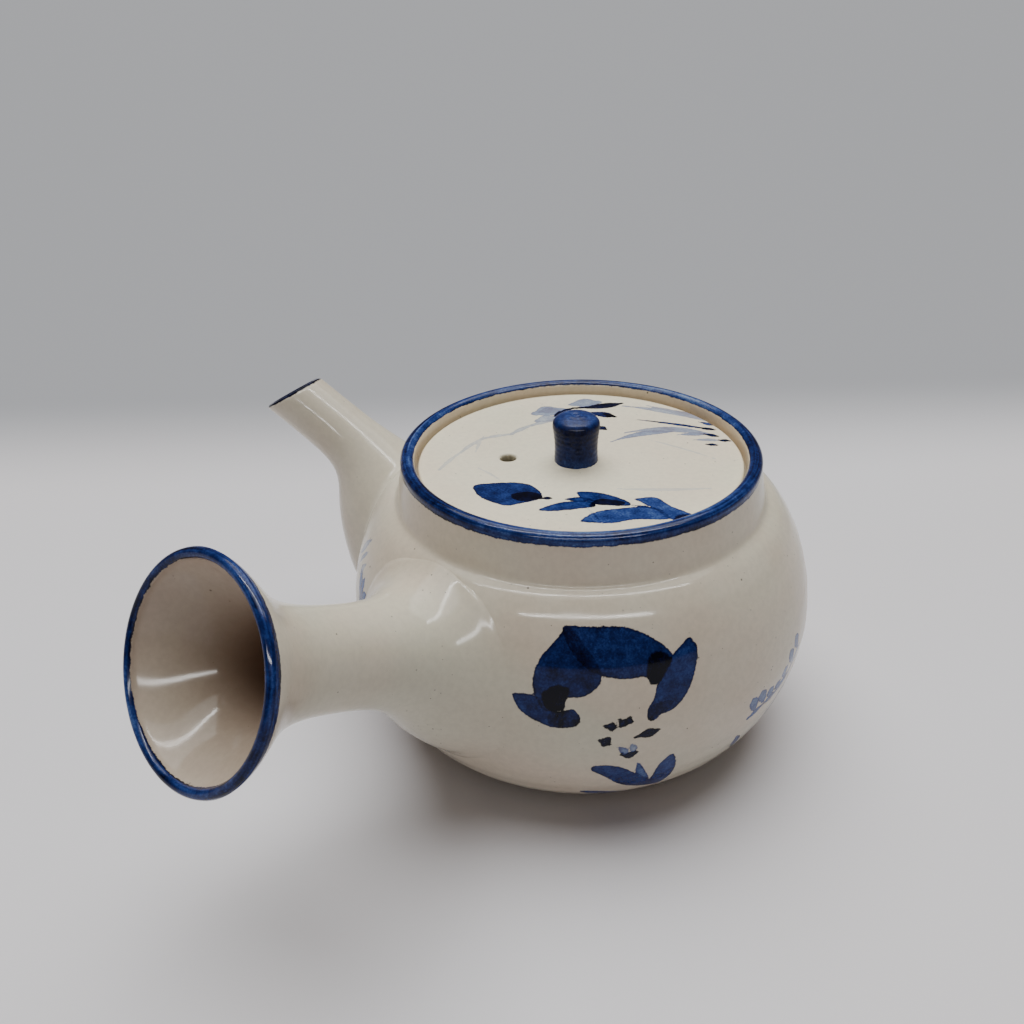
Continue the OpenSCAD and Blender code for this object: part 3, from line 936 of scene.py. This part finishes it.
class Nodes:
    """Short forms for the nodes of one material."""

    def __init__(self, name):
        self.material = bpy.data.materials.new(name)
        self.material.use_nodes = True
        self.tree = self.material.node_tree
        self.shader = self.tree.nodes["Principled BSDF"]
        self.place = self.new("ShaderNodeTexCoord").outputs["Object"]

    def new(self, kind, **values):
        node = self.tree.nodes.new(kind)
        for key, value in values.items():
            setattr(node, key, value)
        return node

    def put(self, socket, value):
        if isinstance(value, bpy.types.NodeSocket):
            self.tree.links.new(value, socket)
        else:
            socket.default_value = value

    def look(self, name, value):
        self.put(self.shader.inputs[name], value)

    def total(self, value, *more):
        for other in more:
            value = self.math("ADD", value, other)
        return value

    def noise(self, scale, detail=2.0, rough=0.5, at=None, distortion=0.0):
        node = self.new("ShaderNodeTexNoise")
        self.put(node.inputs["Vector"], at if at is not None else self.place)
        for key, number in (("Scale", scale), ("Detail", detail), ("Roughness", rough),
                            ("Distortion", distortion)):
            node.inputs[key].default_value = number
        return node.outputs["Fac"]

    def sway(self, amount, *noise):
        """Noise about zero, up to half the amount each way."""
        return self.math("MULTIPLY", self.math("SUBTRACT", self.noise(*noise), 0.5), amount)

    def along(self, direction):
        """How far a point lies in a direction from the pot's origin."""
        node = self.new("ShaderNodeVectorMath", operation="DOT_PRODUCT")
        self.put(node.inputs[0], self.place)
        node.inputs[1].default_value = direction
        return node.outputs["Value"]

    def math(self, operation, a, b=0.0, c=0.0, clamp=False):
        node = self.new("ShaderNodeMath", operation=operation, use_clamp=clamp)
        self.put(node.inputs[0], a)
        self.put(node.inputs[1], b)
        self.put(node.inputs[2], c)
        return node.outputs[0]

    def fit(self, value, low, high, to_low=0.0, to_high=1.0, smooth=True):
        node = self.new("ShaderNodeMapRange")
        node.interpolation_type = "SMOOTHSTEP" if smooth else "LINEAR"
        self.put(node.inputs["Value"], value)
        for key, number in (("From Min", low), ("From Max", high), ("To Min", to_low),
                            ("To Max", to_high)):
            self.put(node.inputs[key], number)
        return node.outputs["Result"]

    def mix(self, factor, a, b):
        node = self.new("ShaderNodeMix", data_type="RGBA")
        self.put(node.inputs[0], factor)
        self.put(node.inputs[6], a)
        self.put(node.inputs[7], b)
        return node.outputs[2]

    def ramp(self, value, stops):
        node = self.new("ShaderNodeValToRGB")
        self.put(node.inputs["Fac"], value)
        elements = node.color_ramp.elements
        while len(elements) < len(stops):
            elements.new(0.5)
        for element, (position, colour) in zip(elements, stops):
            element.position = position
            element.color = colour
        return node.outputs["Color"]

    def attribute(self, name):
        return self.new("ShaderNodeAttribute", attribute_name=name).outputs["Fac"]

    def bump(self, height, distance, strength=1.0, normal=None):
        node = self.new("ShaderNodeBump")
        node.inputs["Strength"].default_value = strength
        node.inputs["Distance"].default_value = distance
        self.put(node.inputs["Height"], height)
        if normal is not None:
            self.put(node.inputs["Normal"], normal)
        return node.outputs["Normal"]


def rgb(r, g, b):
    """A colour given as it looks on screen, 0 to 255, as the linear colour that nodes take."""
    return tuple((v / 255) ** 2.2 for v in (r, g, b)) + (1.0,)


INK_STOPS = [(0.0, rgb(196, 202, 206)), (0.18, rgb(146, 161, 184)), (0.36, rgb(82, 108, 154)),
             (0.52, rgb(44, 63, 120)), (0.66, rgb(27, 39, 86)), (0.8, rgb(16, 22, 54)),
             (0.95, rgb(8, 10, 24))]


def ink_colour(n, density):
    """Cobalt at a given density, with the grain of the pigment and clouds where it pooled."""
    grain = n.sway(0.42, 1900, 4, 0.65)
    cloud = n.sway(0.46, 380, 4, 0.6)
    return n.ramp(n.total(density, grain, cloud), INK_STOPS)


def glaze_base(n, light, warm, cool):
    """Cream glaze: slow shifts of tint, fine mottling and scattered iron specks."""
    slow = n.fit(n.noise(26, 3, 0.55), 0.36, 0.64)
    tint = n.mix(slow, light, warm)
    tint = n.mix(n.fit(n.noise(17, 2, 0.5, distortion=0.4), 0.45, 0.72, 0, 0.8), tint, cool)
    mottle = n.fit(n.noise(700, 4, 0.6), 0.3, 0.7, 0.955, 1.03)
    node = n.new("ShaderNodeVectorMath", operation="SCALE")
    n.put(node.inputs[0], tint)
    n.put(node.inputs["Scale"], mottle)
    tint = node.outputs[0]
    for scale, size, share in ((330, 0.09, 0.66), (620, 0.10, 0.76), (150, 0.055, 0.40)):
        cells = n.new("ShaderNodeTexVoronoi")
        n.put(cells.inputs["Vector"], n.place)
        cells.inputs["Scale"].default_value = scale
        chance = n.new("ShaderNodeSeparateColor")
        n.put(chance.inputs[0], cells.outputs["Color"])
        near = n.fit(cells.outputs["Distance"], size, size * 0.45, 0, 1)
        chosen = n.math("GREATER_THAN", chance.outputs[0], share)
        depth = n.fit(chance.outputs[1], 0, 1, 0.25, 0.85)
        fleck = n.math("MULTIPLY", n.math("MULTIPLY", near, chosen), depth)
        tint = n.mix(fleck, tint, rgb(70, 62, 56))
    return tint


def glaze_skin(n, roughness=0.12, shine=0.15):
    """The glassy surface: very slight waves and a fine orange peel."""
    waves = n.bump(n.noise(55, 2, 0.5), 0.00022, 0.55)
    peel = n.bump(n.noise(420, 3, 0.55), 0.00002, 0.5, waves)
    n.look("Normal", peel)
    n.look("Roughness", n.fit(n.noise(90, 3, 0.6), 0.3, 0.7, roughness * 0.75, roughness * 1.35))
    n.look("IOR", 1.52)
    n.look("Specular IOR Level", shine)


def thinning_and_painted_shade(n, base, deep):
    """Glaze that thins out over tan clay, further and further into the handle's hollow, darkening
    there as painted shade.
    """
    along = handle_axes()[0]
    reach = n.along(along)
    mouth = (HANDLE_REACH + HANDLE_Z * along[2]) * MM
    return n.mix(n.fit(reach, mouth - THIN_AND_SHADE_FROM * MM, mouth - THIN_AND_SHADE_TO * MM), base, deep)


def painted_glaze(name, light, warm, cool, deep=None):
    n = Nodes(name)
    base = glaze_base(n, light, warm, cool)
    # Painted shade: a deep colour darkens the glaze further into the handle's hollow, along with
    # the thinning glaze
    if deep:
        base = thinning_and_painted_shade(n, base, deep)
    ragged = n.total(n.sway(0.7, 900, 3, 0.6), n.sway(0.35, 3200, 2, 0.6))
    first = n.total(n.attribute("paint_first"), ragged)
    second = n.total(n.attribute("paint_second"), ragged)
    dark = n.total(n.attribute("paint_dark"), ragged)
    tone = n.attribute("paint_tone")
    inside = n.fit(first, -0.10, 0.12)
    pooled = n.fit(first, 0.05, 0.6, 0.14, 0.0)
    density = n.total(tone, pooled)
    density = n.total(density, n.fit(second, -0.15, 0.2, 0, 0.12))
    density = n.total(density, n.fit(dark, -0.25, 0.35, 0, 0.3))
    ink = ink_colour(n, density)
    cover = n.math("MULTIPLY", inside, n.fit(tone, 0.0, 0.45, 0.12, 1.0, smooth=False))
    n.look("Base Color", n.mix(cover, base, ink))
    glaze_skin(n)
    return n.material


def knob_glaze():
    n = Nodes("cobalt_glaze")
    axes = n.new("ShaderNodeSeparateXYZ")
    n.put(axes.inputs[0], n.place)
    height = axes.outputs["Z"]
    bottom, top = KNOB_LOW[2] * MM, KNOB_HIGH[2] * MM
    # Painted shade and light: the cobalt darkens up the side towards the head, and the top of the
    # dome is painted lighter
    side = n.fit(height, bottom, bottom + 0.75 * (top - bottom), 0.60, 0.78)
    dome_painted_light = n.fit(height, bottom + 0.84 * (top - bottom), bottom + 0.94 * (top - bottom), 0, -0.2)
    brushed = n.sway(0.3, 600, 4, 0.7)
    density = n.total(side, dome_painted_light, brushed)
    n.look("Base Color", ink_colour(n, density))
    glaze_skin(n, 0.3, 0.12)
    return n.material


def bare_clay(name, colour, dark):
    n = Nodes(name)
    grit = n.fit(n.noise(1400, 5, 0.7), 0.3, 0.7)
    tint = n.mix(n.fit(n.noise(60, 4, 0.6), 0.35, 0.65), colour, dark)
    tint = n.mix(n.math("MULTIPLY", n.fit(grit, 0.72, 0.95), 0.5), tint, rgb(96, 78, 62))
    n.look("Base Color", tint)
    n.look("Roughness", n.fit(n.noise(300, 3, 0.6), 0.3, 0.7, 0.62, 0.85))
    n.look("Normal", n.bump(n.noise(1600, 4, 0.7), 0.00006, 0.8))
    return n.material


def give(piece, *materials, where=()):
    """Materials for a piece. The first covers it, and each test that passes on the middle and
    normal of a face gives that face the next one."""
    mesh = piece.data
    mesh.materials.clear()
    for material in materials:
        mesh.materials.append(material)
    if not where:
        return
    n = len(mesh.polygons)
    middle, normal = np.empty(n * 3), np.empty(n * 3)
    mesh.polygons.foreach_get("center", middle)
    mesh.polygons.foreach_get("normal", normal)
    index = np.zeros(n, np.int32)
    for number, test in enumerate(where):
        index[test(middle.reshape(-1, 3) / MM, normal.reshape(-1, 3))] = number + 1
    mesh.polygons.foreach_set("material_index", index)


def on_foot_or_ledge(m, n):
    return (m[:, 2] < 0.5) | ((np.abs(m[:, 2] - LEDGE_Z) < 0.05) & (n[:, 2] > 0.9))


def in_gallery(m, n):
    inside = off_axis(m) < MOUTH_R + 0.7
    return inside & (m[:, 2] > LEDGE_Z + 0.05) & (n[:, 2] < 0.9)


def on_flange(m, _):
    r = off_axis(m)
    return (m[:, 2] < LEDGE_Z + 0.1) & (r > FLANGE_R - FLANGE_T + 0.3)


def in_handle(m, _):
    along = handle_axes()[0]
    base = m - HANDLE_START
    v = base @ along
    r = np.linalg.norm(base - v[:, None] * along, axis=1)
    return r < handle_radius(HANDLE_REACH - v) - HANDLE_LIP / 2


# ---- stage

CAMERA_AT = Vector((-95.1, 224.1, 191.6))
CAMERA_HEADING = -62.99
CAMERA_PITCH = -29.03
CAMERA_ROLL = -1.59
LENS = 38.67

FLOOR_RINGS = (60, 300, 900, 4000)
NEAR_PAPER = rgb(211, 208, 214), rgb(209, 203, 207)
FAR_PAPER_SHADE = rgb(145, 145, 151)
# How far behind the pot the paper starts and ends its change to the far tone, a darker tone painted
# as the shade on the dimmer backdrop
SWEEP_FROM = 120
SWEEP_TO = 220

SUN_POWER = 4.2
SUN_SPREAD = 62
SUN_TILT = -16
SUN_COLOUR = (0.972, 0.995, 0.972)
STRIP_TOP = (0.75, 0.04)
STRIP_TOP_POWER = 4.0
STRIP_FRONT = (0.80, 0.05)
STRIP_FRONT_POWER = 6.0
TENT_COLOUR = (0.95, 0.85, 0.75, 1)
TENT_POWER = 0.135


def level_frame():
    """Level directions to the camera's right and back towards the camera."""
    a = radians(CAMERA_HEADING)
    return Vector((sin(a), -cos(a), 0)), Vector((-cos(a), -sin(a), 0))


def make_camera():
    heading, pitch, roll = map(radians, (CAMERA_HEADING, CAMERA_PITCH, CAMERA_ROLL))
    forward = Vector((cos(heading) * cos(pitch), sin(heading) * cos(pitch), sin(pitch)))
    right0, _ = level_frame()
    up0 = right0.cross(forward)
    right = right0 * cos(roll) + up0 * sin(roll)
    up = up0 * cos(roll) - right0 * sin(roll)
    data = bpy.data.cameras.new("camera")
    data.lens = LENS
    data.sensor_width = 36.0
    data.clip_start = 0.01
    camera = link(bpy.data.objects.new("camera", data))
    basis = Matrix((right, up, -forward)).transposed().to_4x4()
    camera.matrix_world = Matrix.Translation(CAMERA_AT * MM) @ basis
    bpy.context.scene.camera = camera


def make_floor():
    sides = 96
    a = around(sides)
    rings = [np.stack([r * np.cos(a), r * np.sin(a), 0 * a], -1) for r in FLOOR_RINGS]
    points = np.concatenate([[[0, 0, 0]]] + rings)
    faces = strip_faces(len(FLOOR_RINGS), sides, offset=1, flip=True)
    faces += [(0, 1 + k, 1 + (k + 1) % sides) for k in range(sides)]
    floor = mesh_piece("floor", points, faces)
    n = Nodes("floor_paper")
    _, back = level_frame()
    # Painted shade: behind the pot the paper darkens to the far tone, for the dimmer backdrop
    painted_backdrop_shade = n.fit(n.along(-back), SWEEP_FROM * MM, SWEEP_TO * MM)
    near = n.mix(n.fit(n.noise(6, 3, 0.5), 0.3, 0.7, 0, 0.5), *NEAR_PAPER)
    n.look("Base Color", n.mix(painted_backdrop_shade, near, FAR_PAPER_SHADE))
    n.look("Roughness", 0.7)
    give(floor, n.material)


def strip_light(name, place, target, size, power, long):
    """A long lamp that shows only as a highlight in the glaze."""
    data = bpy.data.lights.new(name, "AREA")
    data.energy = power
    data.shape = "RECTANGLE"
    data.size, data.size_y = size
    lamp = link(bpy.data.objects.new(name, data))
    z = (place - target).normalized()
    x = (long - z * long.dot(z)).normalized()
    y = z.cross(x)
    lamp.matrix_world = Matrix.Translation(place) @ Matrix((x, y, z)).transposed().to_4x4()
    lamp.visible_diffuse = False


def make_lights():
    right, back = level_frame()
    up = Vector((0, 0, 1))
    aim = Vector((0, 0, 0.05))
    key = bpy.data.lights.new("tent_top", "SUN")
    key.energy = SUN_POWER
    key.angle = radians(SUN_SPREAD)
    key.color = SUN_COLOUR
    lamp = link(bpy.data.objects.new("tent_top", key))
    lamp.matrix_world = Matrix.Rotation(radians(SUN_TILT), 4, right)
    strip_light("strip_top", up * 0.62 + back * 0.02, aim, STRIP_TOP, STRIP_TOP_POWER, right)
    strip_light("strip_front", up * 0.50 + back * 0.58, aim, STRIP_FRONT, STRIP_FRONT_POWER, right)
    world = bpy.data.worlds.new("tent")
    world.use_nodes = True
    ground = world.node_tree.nodes["Background"]
    ground.inputs["Color"].default_value = TENT_COLOUR
    ground.inputs["Strength"].default_value = TENT_POWER
    bpy.context.scene.world = world


# ---- assembly

make_camera()
make_floor()
make_lights()

cream = painted_glaze("cream_glaze", rgb(209, 200, 183), rgb(206, 192, 174), rgb(201, 198, 180))
# Inside the handle's hollow: thinner glaze over tan clay, in darker tones that paint the shade of
# the hollow, deepening as painted shade further in
thin = painted_glaze("thin_glaze_painted_shade", rgb(186, 170, 155), rgb(180, 161, 143), rgb(176, 164, 148),
                     rgb(134, 103, 84))
# The gallery wall inside the mouth: a warmer tan glaze, painted lighter than the body's cream as
# painted light on the shaded inner wall
gallery_painted_light = painted_glaze("gallery_glaze_painted_light", rgb(232, 216, 192), rgb(228, 208, 180),
                         rgb(224, 212, 190))
# The lid: the same cream glaze as the body, painted lighter as painted light falling on its top
lid_cream_painted_light = painted_glaze("lid_glaze", rgb(234, 225, 203), rgb(231, 218, 196), rgb(225, 220, 196))
cobalt = knob_glaze()
raw = bare_clay("raw_clay", rgb(205, 188, 164), rgb(190, 168, 140))
sieve_clay = bare_clay("strainer_clay", rgb(214, 204, 186), rgb(198, 184, 160))

bowl = make_bowl()
give(bowl, cream, raw, gallery_painted_light, where=(on_foot_or_ledge, in_gallery))
spout = make_spout()
give(spout, cream)
handle = make_handle()
give(handle, cream, thin, where=[in_handle])
lid = make_lid()
give(lid, lid_cream_painted_light, raw, where=[on_flange])
button = make_knob()
give(button, cobalt)
give(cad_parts["strainer"], sieve_clay)

for piece, node, body, slot in (
        (bowl, "pot_body", "pot", "glaze"), (spout, "spout", "pot", "glaze"),
        (handle, "handle", "pot", "glaze"), (lid, "lid", "lid", "lid_glaze"),
        (button, "lid_knob", "lid", "cobalt")):
    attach(piece, body)
    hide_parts(node)
